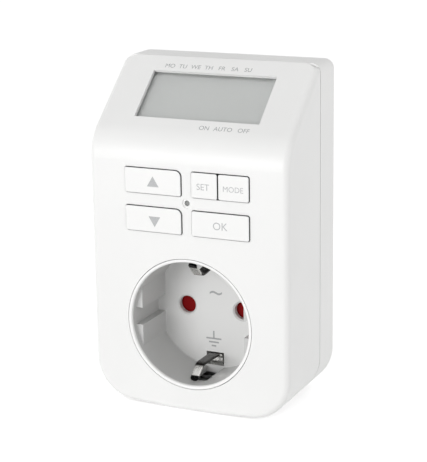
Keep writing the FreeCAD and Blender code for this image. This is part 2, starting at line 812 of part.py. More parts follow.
def plug_base():
    """The hollow round base with its inner flange, side flats and keys, and a bevelled end."""
    body = doc.addObject("PartDesign::Body", "base_body")
    outline = sketch(body, "base_outline", "XY_Plane")
    polygon(outline, [
        ("0", REAR_INNER),
        (f"({BASE_RADIUS} + base_flange)", REAR_INNER),
        (f"({BASE_RADIUS} + base_flange)", FLANGE_SEAT),
        (BASE_RADIUS, FLANGE_SEAT),
        (BASE_RADIUS, BASE_END),
        ("0", BASE_END),
    ])
    turned(body, outline)
    end = value(BASE_END)
    radius = value(BASE_RADIUS)
    rounded(body, "base_bevel", "base_edge", lambda e: is_ring(e, radius, end), "Chamfer")
    groove = "(groove_width - 2 * key_play)"
    side_flats = flats("base_flat", f"({BASE_RADIUS} - base_flat)", BASE_RADIUS, BACK, f"{BASE_END} + 1",
                       groove)
    subpart("plug_base", cut("plug_base", body, *side_flats, *base_tools()), on_axis)


def base_tools():
    """What is cut from the base: its bore, pin holes and the channels of the earth strips."""
    bore = rod("base_bore", "y", f"{BASE_RADIUS} - base_wall", f"{REAR_INNER} - 1", BASE_INNER)
    slab = box("base_bore_slab", both_ways(f"({BASE_RADIUS} - base_flat - base_wall)"),
               (f"{REAR_INNER} - 1", BASE_INNER), both_ways(BASE_RADIUS))
    tools = [common("base_bore_flat", bore, slab)]
    for tag, at in both_sides(PINS_ON_AXIS):
        tools.append(rod(f"base_hole_{tag}", "y", "pin_radius + pin_neck + rotor_play", f"{BASE_INNER} - 1",
                         f"{BASE_END} + 1", at))
    for end, way in ENDS:
        for tag, deep, inner in (
            ("run", (f"{REAR_INNER} - 1", f"{BASE_END} + 1"), STRIP_FLOOR),
            ("foot", (f"{REAR_INNER} - 1", f"{BAR_BACK} + strip + strip_play"),
             "(clip_rest - foot_reach - strip_gap)"),
            ("hook", (f"{HOOK} - strip_play", f"{HOOK} + strip + strip_play"),
             f"({EARTH_STRIP} - hook_reach - strip_play)"),
        ):
            tools.append(box(f"channel_{tag}_{end}", STRIP_CHANNEL, deep, side_pair(way, inner, STRIP_ROOF)))
    return tools


def socket_insert():
    """The ring lip, recess with its side guides, floor, ears and the shutter's spigot."""
    body = doc.addObject("PartDesign::Body", "insert_body")
    outline = sketch(body, "insert_outline", "XY_Plane")
    polygon(outline, [
        ("0", "recess_depth"),
        ("mouth_radius", "recess_depth"),
        ("mouth_radius", "0"),
        ("(mouth_radius + ring_wall)", "0"),
        ("(mouth_radius + ring_wall)", "wall"),
        (CUP, "wall"),
        (CUP, FLOOR_BACK),
        ("0", FLOOR_BACK),
    ])
    turned(body, outline)
    mouth = value("mouth_radius")
    rounded(body, "insert_mouth_edge", "mouth_edge", lambda e: is_ring(e, mouth, 0))
    guides = common(
        "insert_guides",
        fuse("insert_guide_blocks", *flats("guide", "(mouth_radius - pad_rise)", "mouth_radius",
                                           "pad_start", "(recess_depth + floor_wall / 2)", "groove_width")),
        rod("insert_guide_round", "y", "mouth_radius + cup_wall / 2", "0", FLOOR_BACK),
    )
    ears = box("insert_ears", both_ways(f"({EAR_X} + ear_half)"), ("recess_depth", FLOOR_BACK),
               both_ways("ear_half"))
    spigot = rod("insert_spigot", "y", "spigot_radius", "(recess_depth + floor_wall / 2)", CARRIER_BACK)
    tools = clip_slots("insert", "recess_depth - 1", f"{FLOOR_BACK} + 1") + clip_reliefs()
    tools += small_holes("insert_hole", "y", EARS_ON_AXIS, "recess_depth - 1", f"{FLOOR_BACK} + 1")
    for tag, at in both_sides(PINS_ON_AXIS):
        tools.append(rod(f"entry_{tag}", "y", "entry_radius", "recess_depth - 1", f"{FLOOR_BACK} + 1", at))
        tools.append(entry_bevel(tag, at))
    solid = fuse("insert_solid", body, guides, ears, spigot)
    subpart("socket_insert", cut("socket_insert", solid, *tools), on_axis)


def entry_bevel(tag, at):
    item = doc.addObject("Part::Cone", f"entry_bevel_{tag}")
    item.Placement = FreeCAD.Placement(FreeCAD.Vector(), FreeCAD.Rotation(FreeCAD.Vector(1, 0, 0), -90))
    bind(item, "Radius1", "entry_radius + entry_edge")
    bind(item, "Radius2", "entry_radius")
    bind(item, "Height", "entry_edge")
    for letter, place in zip("xyz", (at[0], "recess_depth", at[1])):
        bind(item, f"Placement.Base.{letter}", place)
    return item


def clip_slots(name, front, back):
    """Slots above and below the axis that the earth clips pass through."""
    return [
        box(f"{name}_slot_{end}", both_ways("(clip_half + slot_play)"), (front, back),
            side_pair(way, "(clip_rest - clip_strip - slot_drop)", "(clip_rest + slot_rise)"))
        for end, way in ENDS
    ]


def clip_reliefs():
    """Openings in the recess's wall that the earth clips spring back into."""
    return [
        box(f"insert_relief_{end}", both_ways("(clip_half + slot_play)"), ("relief_start", "recess_depth"),
            side_pair(way, "(clip_rest - clip_strip)", f"({CUP} + 1)"))
        for end, way in ENDS
    ]


def shutter():
    """The rotor with a paddle over each entry hole, and the coil spring that turns it back."""
    shapes = [rod("rotor_hub", "y", "hub_radius", ROTOR_FRONT, ROTOR_BACK)]
    shapes.append(box("rotor_arm", both_ways(PIN_X), (ROTOR_FRONT, ROTOR_BACK), both_ways("arm_half")))
    for side, sign in SIDES:
        shapes.append(rod(f"rotor_paddle_{side}", "y", "paddle_radius", ROTOR_FRONT, ROTOR_BACK,
                          (f"{sign} * {PIN_X}", "0")))
    bore = rod("rotor_bore", "y", "spigot_radius + rotor_play", f"{ROTOR_FRONT} - 1", f"{ROTOR_BACK} + 1")
    subpart("shutter_rotor", cut("shutter_rotor", fuse("rotor_solid", *shapes), bore), on_axis)
    coil = doc.addObject("Part::Helix", "spring_line")
    coil.Placement = FreeCAD.Placement(FreeCAD.Vector(), FreeCAD.Rotation(FreeCAD.Vector(1, 0, 0), -90))
    start = f"({ROTOR_BACK} + spring_wire + spring_gap)"
    height = "(spring_space - 2 * spring_wire - 2 * spring_gap)"
    bind(coil, "Radius", "spring_radius")
    bind(coil, "Height", height)
    bind(coil, "Pitch", f"{height} / spring_turns")
    bind(coil, "Placement.Base.y", start)
    wire = doc.addObject("Part::Circle", "spring_section")
    bind(wire, "Radius", "spring_wire")
    bind(wire, "Placement.Base.x", "spring_radius")
    bind(wire, "Placement.Base.y", start)
    spring = doc.addObject("Part::Sweep", "spring_sweep")
    spring.Sections = [wire]
    spring.Spine = (coil, ["Edge1"])
    spring.Solid = True
    spring.Frenet = True
    subpart("shutter_spring", spring, on_axis)


def contact_carrier():
    """The plate that closes the shutter's space, with a chamber behind it for each contact."""
    shapes = [rod("carrier_plate", "y", CUP, CARRIER_FRONT, CARRIER_BACK)]
    rim_bore = rod("carrier_rim_bore", "y", f"{CUP} - rim_wall", f"{FLOOR_BACK} - 1", f"{CARRIER_BACK} + 1")
    shapes.append(cut("carrier_rim", rod("carrier_rim_round", "y", CUP, FLOOR_BACK, CARRIER_BACK), rim_bore))
    tools = clip_slots("carrier", f"{CARRIER_FRONT} - 1", f"{CARRIER_BACK} + 1")
    tools.append(rod("carrier_spigot_hole", "y", "spigot_radius + screw_play", f"{CARRIER_FRONT} - 1",
                     f"{CARRIER_BACK} + 1"))
    for side, sign in SIDES:
        shapes.append(box(f"carrier_lug_{side}", side_pair(sign, f"({CUP} - 1)", f"({EAR_X} + ear_half)"),
                          (FLOOR_BACK, CARRIER_BACK), both_ways("ear_half")))
        outer = "(chamber_half + chamber_wall)"
        tall = "(blade_half + blade_play + chamber_wall)"
        shapes.append(box(f"chamber_{side}",
                          side_pair(sign, f"{PIN_X} - {outer}", f"{PIN_X} + {outer}"),
                          (f"{CARRIER_BACK} - carrier_wall / 2", CHAMBER_END), both_ways(tall)))
        tools.append(box(f"chamber_hollow_{side}",
                         side_pair(sign, f"{PIN_X} - chamber_half", f"{PIN_X} + chamber_half"),
                         (CARRIER_BACK, f"{CHAMBER_END} + 1"), both_ways("(blade_half + blade_play)")))
    tools += small_holes("carrier_hole", "y", EARS_ON_AXIS, f"{FLOOR_BACK} - 1", f"{CARRIER_BACK} + 1")
    tools += [
        rod(f"carrier_entry_{tag}", "y", "entry_radius", f"{CARRIER_FRONT} - 1", f"{CARRIER_BACK} + 1", at)
        for tag, at in both_sides(PINS_ON_AXIS)
    ]
    subpart("contact_carrier", cut("contact_carrier", fuse("carrier_solid", *shapes), *tools), on_axis)


def fork(name, sign):
    """Two spring blades that grip a pin, joined behind, with flared tips."""
    body = doc.addObject("PartDesign::Body", name)
    outline = sketch(body, name + "_outline", "XY_Plane", "0 - blade_half")
    middle = f"{sign} * {PIN_X}"
    tip = f"({CARRIER_BACK} + strip_gap)"
    lead = f"({tip} + blade_lead)"
    gap = "blade_gap"
    wide = "(blade_gap + blade_flare)"
    half = [(wide, tip), (gap, lead), (gap, CHAMBER_END)]
    back = [("(blade_gap + strip)", STRAP_BACK), ("(blade_gap + strip)", lead), (f"({wide} + strip)", tip)]
    places = [(f"{middle} - {across}", deep) for across, deep in half]
    places += [(f"{middle} + {across}", deep) for across, deep in reversed(half)]
    places += [(f"{middle} + {across}", deep) for across, deep in reversed(back)]
    places += [(f"{middle} - {across}", deep) for across, deep in back]
    polygon(outline, places)
    pad(body, outline, "2 * blade_half")
    return body


TAIL_TOP = f"({POWER_BOARD_LOW} - {AXIS} + tail_length)"


def back_plate(name, sign):
    half = "(chamber_half + strip)"
    return box(name, side_pair(sign, f"{PIN_X} - {half}", f"{PIN_X} + {half}"),
               (CHAMBER_END, STRAP_BACK), both_ways("blade_half"))


def rivet_arm(name, sign, start):
    """The arm that runs back into the plug base and ends in an eye round the pin's rivet."""
    arm = box(name + "_arm", side_pair(sign, f"{PIN_X} + chamber_half", f"{PIN_X} + chamber_half + strip"),
              (start, RIVET_SEAT), both_ways("blade_half"))
    eye = box(name + "_eye", side_pair(sign, f"{PIN_X} - blade_half", f"{PIN_X} + chamber_half + strip"),
              (f"{RIVET_SEAT} - strip", RIVET_SEAT), both_ways("blade_half"))
    hole = rod(name + "_hole", "y", "rivet_radius + screw_play", f"{RIVET_SEAT} - strip - 1",
               f"{RIVET_SEAT} + 1", (f"{sign} * {PIN_X}", "0"))
    return cut(name, fuse(name + "_solid", arm, eye), hole)


def tail(name, sign):
    """The strap that rises from a contact to the power board."""
    return box(name, side_pair(sign, f"{PIN_X} - strap_half", f"{PIN_X} + strap_half"),
               (CHAMBER_END, STRAP_BACK), ("0", TAIL_TOP))


def contacts():
    subpart("live_contact", fuse("live_contact", fork("live_fork", "-1"), back_plate("live_plate", "-1"),
                                 tail("live_tail", "-1")), on_axis)
    subpart("neutral_contact", fuse("neutral_contact", fork("neutral_fork", "1"),
                                    back_plate("neutral_plate", "1"), tail("neutral_tail", "1"),
                                    rivet_arm("neutral_arm", "1", CHAMBER_END)), on_axis)
    near = f"{PIN_X} + chamber_half"
    far = f"{PIN_X} + chamber_half + feed_width"
    riser = box("feed_riser", side_pair("-1", near, far), (BAR_FRONT, BAR_BACK), ("0 - blade_half", TAIL_TOP))
    foot = box("feed_foot", side_pair("-1", f"{near} + strip", far), (CHAMBER_END, BAR_BACK),
               (f"{TAIL_TOP} - strip", TAIL_TOP))
    subpart("live_feed", fuse("live_feed", riser, foot, rivet_arm("feed_arm", "-1", BAR_FRONT)), on_axis)


def earth_clip(name, way):
    """One sprung clip, from the bar forward along the recess wall with its inward bulge."""
    body = doc.addObject("PartDesign::Body", name)
    outline = sketch(body, name + "_outline", "YZ_Plane", "0 - clip_half")
    line = [
        (BAR_BACK, "clip_rest"),
        ("(recess_depth - clip_root)", "clip_rest"),
        ("(clip_peak + crest_half)", "(clip_reach + clip_strip)"),
        ("(clip_peak - crest_half)", "(clip_reach + clip_strip)"),
        ("clip_tip", "(mouth_radius - tip_inset)"),
    ]
    places = [(deep, f"{way} * {up}") for deep, up in line]
    places += [(deep, f"{way} * ({up} - clip_strip)") for deep, up in reversed(line)]
    polygon(outline, places)
    pad(body, outline, "2 * clip_half")
    front = value("clip_peak - 2 * crest_half")
    rear = value("recess_depth")
    rounded(body, name + "_bends", "clip_bend",
            lambda e: straight_along(e, 0) and front < e.Vertexes[0].Y < rear)
    return body


def earth_parts():
    bar = box("earth_bar", both_ways("clip_half"), (BAR_FRONT, BAR_BACK), both_ways("clip_rest"))
    subpart("earth_bracket", fuse("earth_bracket", bar, earth_clip("upper_clip", "1"),
                                  earth_clip("lower_clip", "-1")), on_axis)
    across = both_ways("clip_half")
    for end, way in ENDS:
        outer = f"({EARTH_STRIP} + strip)"
        foot = box(f"{end}_strip_foot", across, (BAR_BACK, f"{BAR_BACK} + strip"),
                   side_pair(way, "(clip_rest - foot_reach)", outer))
        run = box(f"{end}_strip_run", across, (BAR_BACK, f"{HOOK} + strip"),
                  side_pair(way, EARTH_STRIP, outer))
        hook = box(f"{end}_strip_hook", across, (HOOK, f"{HOOK} + strip"),
                   side_pair(way, f"({EARTH_STRIP} - hook_reach)", outer))
        subpart(f"plug_earth_{end}", fuse(f"plug_earth_{end}", foot, run, hook), on_axis)


def plug_pins():
    """Each pin: rivet, collar inside the base, neck through its end wall and the free round pin."""
    for name, sign in (("plug_pin_live", "-1"), ("plug_pin_neutral", "1")):
        body = doc.addObject("PartDesign::Body", name)
        outline = sketch(body, name + "_outline", "XY_Plane")
        under_head = f"({RIVET_SEAT} - strip)"
        head = f"({under_head} - rivet_head)"
        neck_end = f"({BASE_END} + neck_proud)"
        polygon(outline, [
            ("0", head),
            ("(rivet_radius + rivet_rim)", head),
            ("(rivet_radius + rivet_rim)", under_head),
            ("rivet_radius", under_head),
            ("rivet_radius", RIVET_SEAT),
            ("collar_radius", RIVET_SEAT),
            ("collar_radius", BASE_INNER),
            ("(pin_radius + pin_neck)", BASE_INNER),
            ("(pin_radius + pin_neck)", neck_end),
            ("pin_radius", neck_end),
            ("pin_radius", PIN_END),
            ("0", PIN_END),
        ])
        turned(body, outline)
        radius = value("pin_radius")
        end = value(PIN_END)
        rounded(body, name + "_tip", "pin_tip", lambda e: is_ring(e, radius, end))
        subpart(name, body, on_axis)
        bind(body, "Placement.Base.x", f"{sign} * {PIN_X}")


def keys():
    """Key caps with flange and plunger, and the switch stem that each one moves."""
    switches = []
    for key, (left, right, row, round_corner, left_reach, right_reach) in KEYS.items():
        middle = f"(({left} + {right}) / 2)"
        cap = key_block(f"{key}_cap", KEYS[key], "0", "0 - key_proud", FLANGE_FRONT, edge="key_edge")
        flange = box(f"{key}_flange", (f"{left} - {left_reach}", f"{right} + {right_reach}"),
                     (FLANGE_FRONT, FLANGE_BACK),
                     (f"{row} - key_height / 2 - flange_reach", f"{row} + key_height / 2 + flange_reach"))
        plunger = rod(f"{key}_plunger", "y", "plunger_radius", FLANGE_FRONT, PLUNGER_END, (middle, row))
        subpart(f"{key}_button", fuse(f"{key}_button", cap, flange, plunger))
        switches.append(switch(key, (middle, row)))
    middle = ("0", MID_ROW)
    subpart("reset_button", fuse(
        "reset_button",
        rod("reset_collar", "y", "reset_flange", FLANGE_FRONT, FLANGE_BACK, middle),
        rod("reset_plunger", "y", "reset_radius", "reset_sink", PLUNGER_END, middle),
    ))
    switches.append(switch("reset", middle))
    subpart("switch_bodies", group("switch_bodies", *switches))


def switch(key, at):
    """A tactile switch body on the key board; its stem is a sub-part of its own."""
    across, up = at
    body = box(f"{key}_switch_box", (f"{across} - switch_half", f"{across} + switch_half"),
               (SWITCH_FRONT, KEY_BOARD), (f"{up} - switch_half", f"{up} + switch_half"))
    well = rod(f"{key}_switch_well", "y", "stem_radius + screw_play", f"{SWITCH_FRONT} - 1",
               f"{SWITCH_FRONT} + stem_hold + key_travel + well_spare", at)
    subpart(f"{key}_switch_stem", rod(f"{key}_switch_stem", "y", "stem_radius", PLUNGER_END,
                                      f"{SWITCH_FRONT} + stem_hold", at))
    return cut(f"{key}_switch", body, well)


def boards():
    """The upright key board and power board, and the display board along the slope."""
    plate = box("key_board_plate", both_ways(KEY_BOARD_HALF), (KEY_BOARD, KEY_BOARD_BACK),
                (KEY_BOARD_LOW, KEY_BOARD_TOP))
    holes = small_holes("key_board_hole", "y", KEY_POSTS, f"{KEY_BOARD} - 1", f"{KEY_BOARD_BACK} + 1")
    subpart("key_board", cut("key_board", plate, *holes))
    plate = box("power_board_plate", both_ways(POWER_BOARD_HALF), (POWER_BOARD, CHAMBER_END),
                (POWER_BOARD_LOW, POWER_BOARD_TOP))
    holes = small_holes("power_board_hole", "y", POWER_POSTS, f"{POWER_BOARD} - 1", f"{CHAMBER_END} + 1")
    subpart("power_board", cut("power_board", plate, *holes))
    deep = (DISPLAY_BOARD_BACK, DISPLAY_BOARD)
    plate = fuse(
        "display_board_plate",
        box("display_board_field", both_ways(DISPLAY_HALF),
            (f"{WINDOW_LOW} - display_board_low", f"{WINDOW_TOP} + display_board_high"), deep),
        box("display_board_ears", both_ways(f"({DISPLAY_EAR_X} + post_radius)"),
            (f"{DISPLAY_EAR_S} - display_ear_half", f"{DISPLAY_EAR_S} + display_ear_half"), deep),
    )
    holes = small_holes("display_board_hole", "z", DISPLAY_POSTS, f"{DISPLAY_BOARD_BACK} - 1",
                        f"{DISPLAY_BOARD} + 1")
    subpart("display_board", cut("display_board", plate, *holes), on_slope)


def display():
    """Lens, display cell of two glass plates, the frame round it and its contact strip."""
    grown = "lens_rim - lens_fit"
    subpart("display_lens", box("display_lens", both_ways(f"({WINDOW_HALF} + {grown})"),
                                (f"{WINDOW_LOW} - ({grown})", f"{WINDOW_TOP} + {grown}"),
                                ("0 - lens_sink - lens_wall", "0 - lens_sink")), on_slope)
    half_cell = f"({CELL_FRONT} - cell_wall / 2)"
    top = f"({WINDOW_TOP} + cell_top_rim)"
    ledge = f"({WINDOW_LOW} - cell_ledge)"
    subpart("display_cell", fuse(
        "display_cell",
        box("cell_front_plate", both_ways(CELL_HALF), (f"{WINDOW_LOW} - cell_low_rim", top),
            (half_cell, CELL_FRONT)),
        box("cell_back_plate", both_ways(CELL_HALF), (ledge, top), (CELL_BACK, half_cell)),
    ), on_slope)
    frame = box("frame_block", both_ways(DISPLAY_HALF),
                (f"{WINDOW_LOW} - frame_low", f"{WINDOW_TOP} + frame_high"), (DISPLAY_BOARD, FRAME_FRONT))
    seat = box("frame_seat", both_ways(f"({CELL_HALF} + fit_gap)"),
               (f"{ledge} - fit_gap", f"{top} + fit_gap"), (CELL_BACK, f"{FRAME_FRONT} + 1"))
    deep = (f"{DISPLAY_BOARD} - 1", f"{FRAME_FRONT} + 1")
    light = box("frame_light", both_ways(f"({CELL_HALF} - light_rim)"),
                (f"{WINDOW_LOW} + light_low", WINDOW_TOP), deep)
    low = f"({WINDOW_LOW} - contact_low)"
    high = f"({WINDOW_LOW} - contact_high)"
    slot = box("frame_slot", both_ways(f"({WINDOW_HALF} + fit_gap)"),
               (f"{low} - lens_fit", f"{high} + lens_fit"), deep)
    subpart("display_frame", cut("display_frame", frame, seat, light, slot), on_slope)
    subpart("contact_strip", box("contact_strip", both_ways(WINDOW_HALF), (low, high),
                                 (DISPLAY_BOARD, CELL_BACK)), on_slope)
    subpart("controller_chip", box("controller_chip", both_ways("chip_half"),
                                   (f"{WINDOW_MID} - chip_half", f"{WINDOW_MID} + chip_half"),
                                   (f"{DISPLAY_BOARD_BACK} - chip_depth", DISPLAY_BOARD_BACK)), on_slope)
    subpart("clock_crystal", rod("clock_crystal", "x", "crystal_radius", "crystal_left",
                                 "crystal_left + crystal_length",
                                 (WINDOW_MID, f"{DISPLAY_BOARD_BACK} - crystal_radius")), on_slope)


def screw(name, axis, at, seat, radius, head, head_height, length, head_high):
    """A cross-head screw: head beyond its seat on one side, shank on the other."""
    if head_high:
        head_span = (seat, f"{seat} + {head_height}")
        shank_span = (f"{seat} - {length}", seat)
        cross_span = (f"{seat} + {head_height} / 2", f"{seat} + {head_height} + 1")
    else:
        head_span = (f"{seat} - {head_height}", seat)
        shank_span = (seat, f"{seat} + {length}")
        cross_span = (f"{seat} - {head_height} - 1", f"{seat} - {head_height} / 2")
    solid = fuse(name + "_solid", rod(name + "_head", axis, head, *head_span, at),
                 rod(name + "_shank", axis, radius, *shank_span, at))
    slots = []
    for turn, (one, other) in enumerate(((CROSS_LONG, CROSS_THIN), (CROSS_THIN, CROSS_LONG))):
        spans = [
            (f"{at[0]} - {one} * {head}", f"{at[0]} + {one} * {head}"),
            (f"{at[1]} - {other} * {head}", f"{at[1]} + {other} * {head}"),
        ]
        spans.insert("xyz".index(axis), cross_span)
        slots.append(box(f"{name}_slot_{turn}", *spans))
    return cut(name, solid, *slots)


def screws():
    """Each set of like screws: where they stand, which way they point, and their frame."""
    small = ("small_screw", "small_head", "small_head_height")
    large = ("screw_radius", "screw_head", "screw_head_height")
    for name, places, axis, seat, form, length, head_high, frame in (
        ("case_screws", CASE_BOSSES, "y", SCREW_SEAT, large, "screw_length", True, in_case),
        ("key_board_screws", KEY_POSTS, "y", KEY_BOARD_BACK, small, "small_length", True, in_case),
        ("carrier_screws", EAR_POSTS, "y", CARRIER_BACK, small, "carrier_screw_length", True, in_case),
        ("power_board_screws", POWER_POSTS, "y", POWER_BOARD, small, "rear_screw_length", False, in_case),
        ("display_screws", DISPLAY_POSTS, "z", DISPLAY_BOARD_BACK, small, "display_screw_length", False,
         on_slope),
    ):
        solids = [
            screw(f"{name}_{tag}", axis, at, seat, *form, length, head_high)
            for tag, at in both_sides(places)
        ]
        subpart(name, group(name, *solids), frame)


def on_board(name):
    """Where a component starts on the power board, across and up."""
    return f"({name}_left - {POWER_BOARD_HALF})", f"({POWER_BOARD_LOW} + {name}_low)"


def stands(label, name):
    """A boxy component that stands on the front of the power board."""
    across, up = on_board(name)
    subpart(label, box(label, (across, f"{across} + {name}_width"),
                       (f"{POWER_BOARD} - {name}_depth", POWER_BOARD), (up, f"{up} + {name}_height")))


def power_parts():
    """What the power board carries: relay, mains supply and its protection."""
    for label, name in (("relay", "relay"), ("mains_capacitor", "film"), ("rectifier", "rectifier")):
        stands(label, name)
    subpart("smoothing_capacitor", rod("smoothing_capacitor", "y", "can_radius",
                                       f"{POWER_BOARD} - can_depth", POWER_BOARD, on_board("can")))
    across, up = on_board("disc")
    middle = f"({POWER_BOARD} - disc_radius - disc_lift)"
    disc = rod("varistor_disc", "x", "disc_radius", across, f"{across} + disc_wall", (middle, up))
    leads = [
        rod(f"varistor_lead_{end}", "y", "lead_radius", middle, POWER_BOARD,
            (f"({across} + disc_wall / 2)", f"{up} + {way} * lead_spread"))
        for end, way in ENDS
    ]
    subpart("varistor", fuse("varistor", disc, *leads))
    across, up = on_board("fuse")
    middle = f"({POWER_BOARD} - fuse_radius - fuse_lift)"
    tube = rod("fuse_tube", "x", "fuse_radius", across, f"{across} + fuse_length", (middle, up))
    leads = [
        rod(f"fuse_lead_{tag}", "y", "lead_radius", middle, POWER_BOARD, (place, up))
        for tag, place in (("left", f"{across} + 2 * lead_radius"),
                           ("right", f"{across} + fuse_length - 2 * lead_radius"))
    ]
    subpart("fuse_resistor", fuse("fuse_resistor", tube, *leads))


def cell_parts():
    """Back-up cell behind the key board, between its two tabs."""
    up = f"({MID_ROW} - cell_drop)"
    low = f"({KEY_BOARD_BACK} + tab_lift)"
    high = f"({low} + cell_depth)"
    top = f"({high} + tab_wall)"
    leg = "(cell_across + cell_radius + tab_gap)"
    width = (f"{up} - tab_half", f"{up} + tab_half")
    subpart("backup_cell", rod("backup_cell", "y", "cell_radius", low, high, ("cell_across", up)))
    under = box("cell_tab_under", ("cell_across - tab_reach", "cell_across + tab_reach"),
                (KEY_BOARD_BACK, low), (f"{up} - tab_reach", f"{up} + tab_reach"))
    over = fuse("cell_tab_over",
                box("cell_tab_top", ("cell_across - tab_reach", f"{leg} + tab_wall"), (high, top), width),
                box("cell_tab_leg", (leg, f"{leg} + tab_wall"), (KEY_BOARD_BACK, top), width))
    subpart("cell_tabs", group("cell_tabs", under, over))


def header_parts():
    """The pin row that joins the key board to the power board, and its two blocks."""
    middle = f"(header_left - {POWER_BOARD_HALF})"
    start = f"({POWER_BOARD_LOW} + header_low)"
    deep = (KEY_BOARD_BACK, POWER_BOARD)

    def bars(name, half):
        heights = [f"{start} + {number} * header_pitch" for number in range(HEADER_PINS)]
        return [
            box(f"{name}_{number}", (f"{middle} - {half}", f"{middle} + {half}"), deep,
                (f"{height} - {half}", f"{height} + {half}"))
            for number, height in enumerate(heights)
        ]

    ends = (f"{start} - header_pitch / 2", f"{start} + {HEADER_PINS} * header_pitch - header_pitch / 2")
    width = (f"{middle} - header_block_half", f"{middle} + header_block_half")
    blocks = group(
        "header_solids",
        box("header_front_block", width, (KEY_BOARD_BACK, f"{KEY_BOARD_BACK} + header_block_depth"), ends),
        box("header_rear_block", width, (f"{POWER_BOARD} - header_block_depth", POWER_BOARD), ends),
    )
    subpart("header_pins", group("header_pins", *bars("header_pin", "header_pin_half")))
    subpart("header_blocks", cut("header_blocks", blocks,
                                 *bars("header_hole", "(header_pin_half + rotor_play)")))


def slope_place(up, out):
    """A place given in the slope's frame, as depth and height."""
    return (f"(({up}) * {ALONG_Y} - ({out}) * {ALONG_Z})",
            f"({BEND} + ({up}) * {ALONG_Z} + ({out}) * {ALONG_Y})")


def display_ribbon():
    """The flat ribbon from the key board's back to the display board's back."""
    body = doc.addObject("PartDesign::Body", "display_ribbon")
    outline = sketch(body, "ribbon_outline", "YZ_Plane", "0 - ribbon_half")
    low = f"({KEY_BOARD_TOP} - ribbon_hold)"
    turn = f"({KEY_BOARD_TOP} + ribbon_gap)"
    near = f"{WINDOW_LOW} - ribbon_start"
    far = f"{near} + ribbon_hold"
    behind = f"{DISPLAY_BOARD_BACK} - ribbon_wall"
    polygon(outline, [
        (KEY_BOARD_BACK, low),
        (KEY_BOARD_BACK, turn),
        slope_place(near, DISPLAY_BOARD_BACK),
        slope_place(far, DISPLAY_BOARD_BACK),
        slope_place(far, behind),
        slope_place(f"{near} + ribbon_wall", behind),
        (f"({KEY_BOARD_BACK} + ribbon_wall)", turn),
        (f"({KEY_BOARD_BACK} + ribbon_wall)", low),
    ])
    pad(body, outline, "2 * ribbon_half")
    subpart("display_ribbon", body)


front_cover()
rear_housing()
plug_base()
socket_insert()
shutter()
contact_carrier()
contacts()
earth_parts()
plug_pins()
keys()
boards()
display()
screws()
power_parts()
cell_parts()
header_parts()
display_ribbon()

doc.recompute()
for item in doc.Objects:
    if "Invalid" in item.State or "Error" in item.State:
        raise RuntimeError(f"{item.Name} failed: {item.State}")
os.makedirs("parts", exist_ok=True)
for item in SUBPARTS:
    if item.Shape.isNull() or not item.Shape.isValid():
        raise RuntimeError(f"{item.Label} has no valid shape")
    item.Shape.exportStep(os.path.join("parts", item.Label + ".step"))
print(len(SUBPARTS), "sub-parts written")
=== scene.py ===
import json
import math

import bmesh
import bpy
from mathutils import Matrix, Vector


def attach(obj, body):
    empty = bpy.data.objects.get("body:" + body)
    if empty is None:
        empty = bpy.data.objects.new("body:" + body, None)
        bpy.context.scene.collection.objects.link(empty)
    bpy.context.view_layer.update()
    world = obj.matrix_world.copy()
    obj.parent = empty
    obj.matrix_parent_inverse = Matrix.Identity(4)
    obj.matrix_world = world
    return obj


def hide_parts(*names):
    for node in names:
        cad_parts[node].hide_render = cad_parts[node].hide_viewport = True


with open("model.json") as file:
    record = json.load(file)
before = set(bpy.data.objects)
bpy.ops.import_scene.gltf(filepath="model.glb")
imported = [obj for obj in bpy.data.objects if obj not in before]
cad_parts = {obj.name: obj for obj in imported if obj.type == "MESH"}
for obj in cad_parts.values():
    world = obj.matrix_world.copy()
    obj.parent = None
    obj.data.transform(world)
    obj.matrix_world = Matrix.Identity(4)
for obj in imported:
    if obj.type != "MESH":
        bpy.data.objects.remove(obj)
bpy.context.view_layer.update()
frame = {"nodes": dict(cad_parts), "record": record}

MM = 0.001

# Places repeated from the solids, in millimetres
FRONT = -37.0
KEY_FACE = -37.5
AXIS_HEIGHT = 28.0
RECESS_FLOOR = -18.5

# Half the thickness of a print, and how far a cap reaches up a letter's size
PRINT = 0.01
CAP_HEIGHT = 0.7

# The sloped display face: its lower edge, and the directions up it and out of it
SLOPE_FOOT = Vector((0, FRONT, 83.5))
SLOPE_UP = Vector((0, 0.757, 0.653)).normalized()
SLOPE_OUT = Vector((0, -SLOPE_UP.z, SLOPE_UP.y))

# The photograph's view: its height and focal length in pixels, the place in millimetres, the axes
PICTURE_HEIGHT = 462
FOCAL_LENGTH = 1547.64
SENSOR_HEIGHT = 36
VIEW_PLACE = Vector((195.37, -437.70, 174.65))
VIEW_AXES = (Vector((0.90795, 0.41882, -0.01472)),
             Vector((-0.09369, 0.23711, 0.96695)),
             Vector((0.40847, -0.87657, 0.25452)))

# The sky's strength at the horizon and overhead, and each soft lamp's place, width and watts
SKY_LOW, SKY_HIGH = 0.84, 0.45
LIT_POINT = (0, 0, 0.05)
SOFTBOXES = (("front_softbox", (-0.5, -1.3, 0.05), 0.8, 13.0),
             ("side_softbox", (1.35, 0.1, 0.15), 0.7, 3.5))
FLOOR_LIFT = 0.5
FLOOR_HALF = 6

# Marks and words on the keys: name, text, height, place across and up, body
MARK_WIDTH = 3.9
KEY_MARKS = (("up_mark", 3.2, -10.9, 71.2, "up_button"),
             ("down_mark", -3.2, -10.6, 59.9, "down_button"))
KEY_WORDS = (("set_word", "SET", 1.9, 5.6, 71.3, "set_button"),
             ("mode_word", "MODE", 1.65, 15.3, 71.3, "mode_button"),
             ("ok_word", "OK", 2.3, 11.0, 59.8, "ok_button"))

# Words on the slope: the days above the display, and the three modes below it
SLOPE_TEXT = 1.5
DAYS = ("MO", "TU", "WE", "TH", "FR", "SA", "SU")
FIRST_DAY, DAY_PITCH, DAY_LINE = -15.6, 4.35, 29.7
MODES = (("on_word", "ON", 3.7), ("auto_word", "AUTO", 9.8), ("off_word", "OFF", 16.4))
MODE_LINE = 6.7

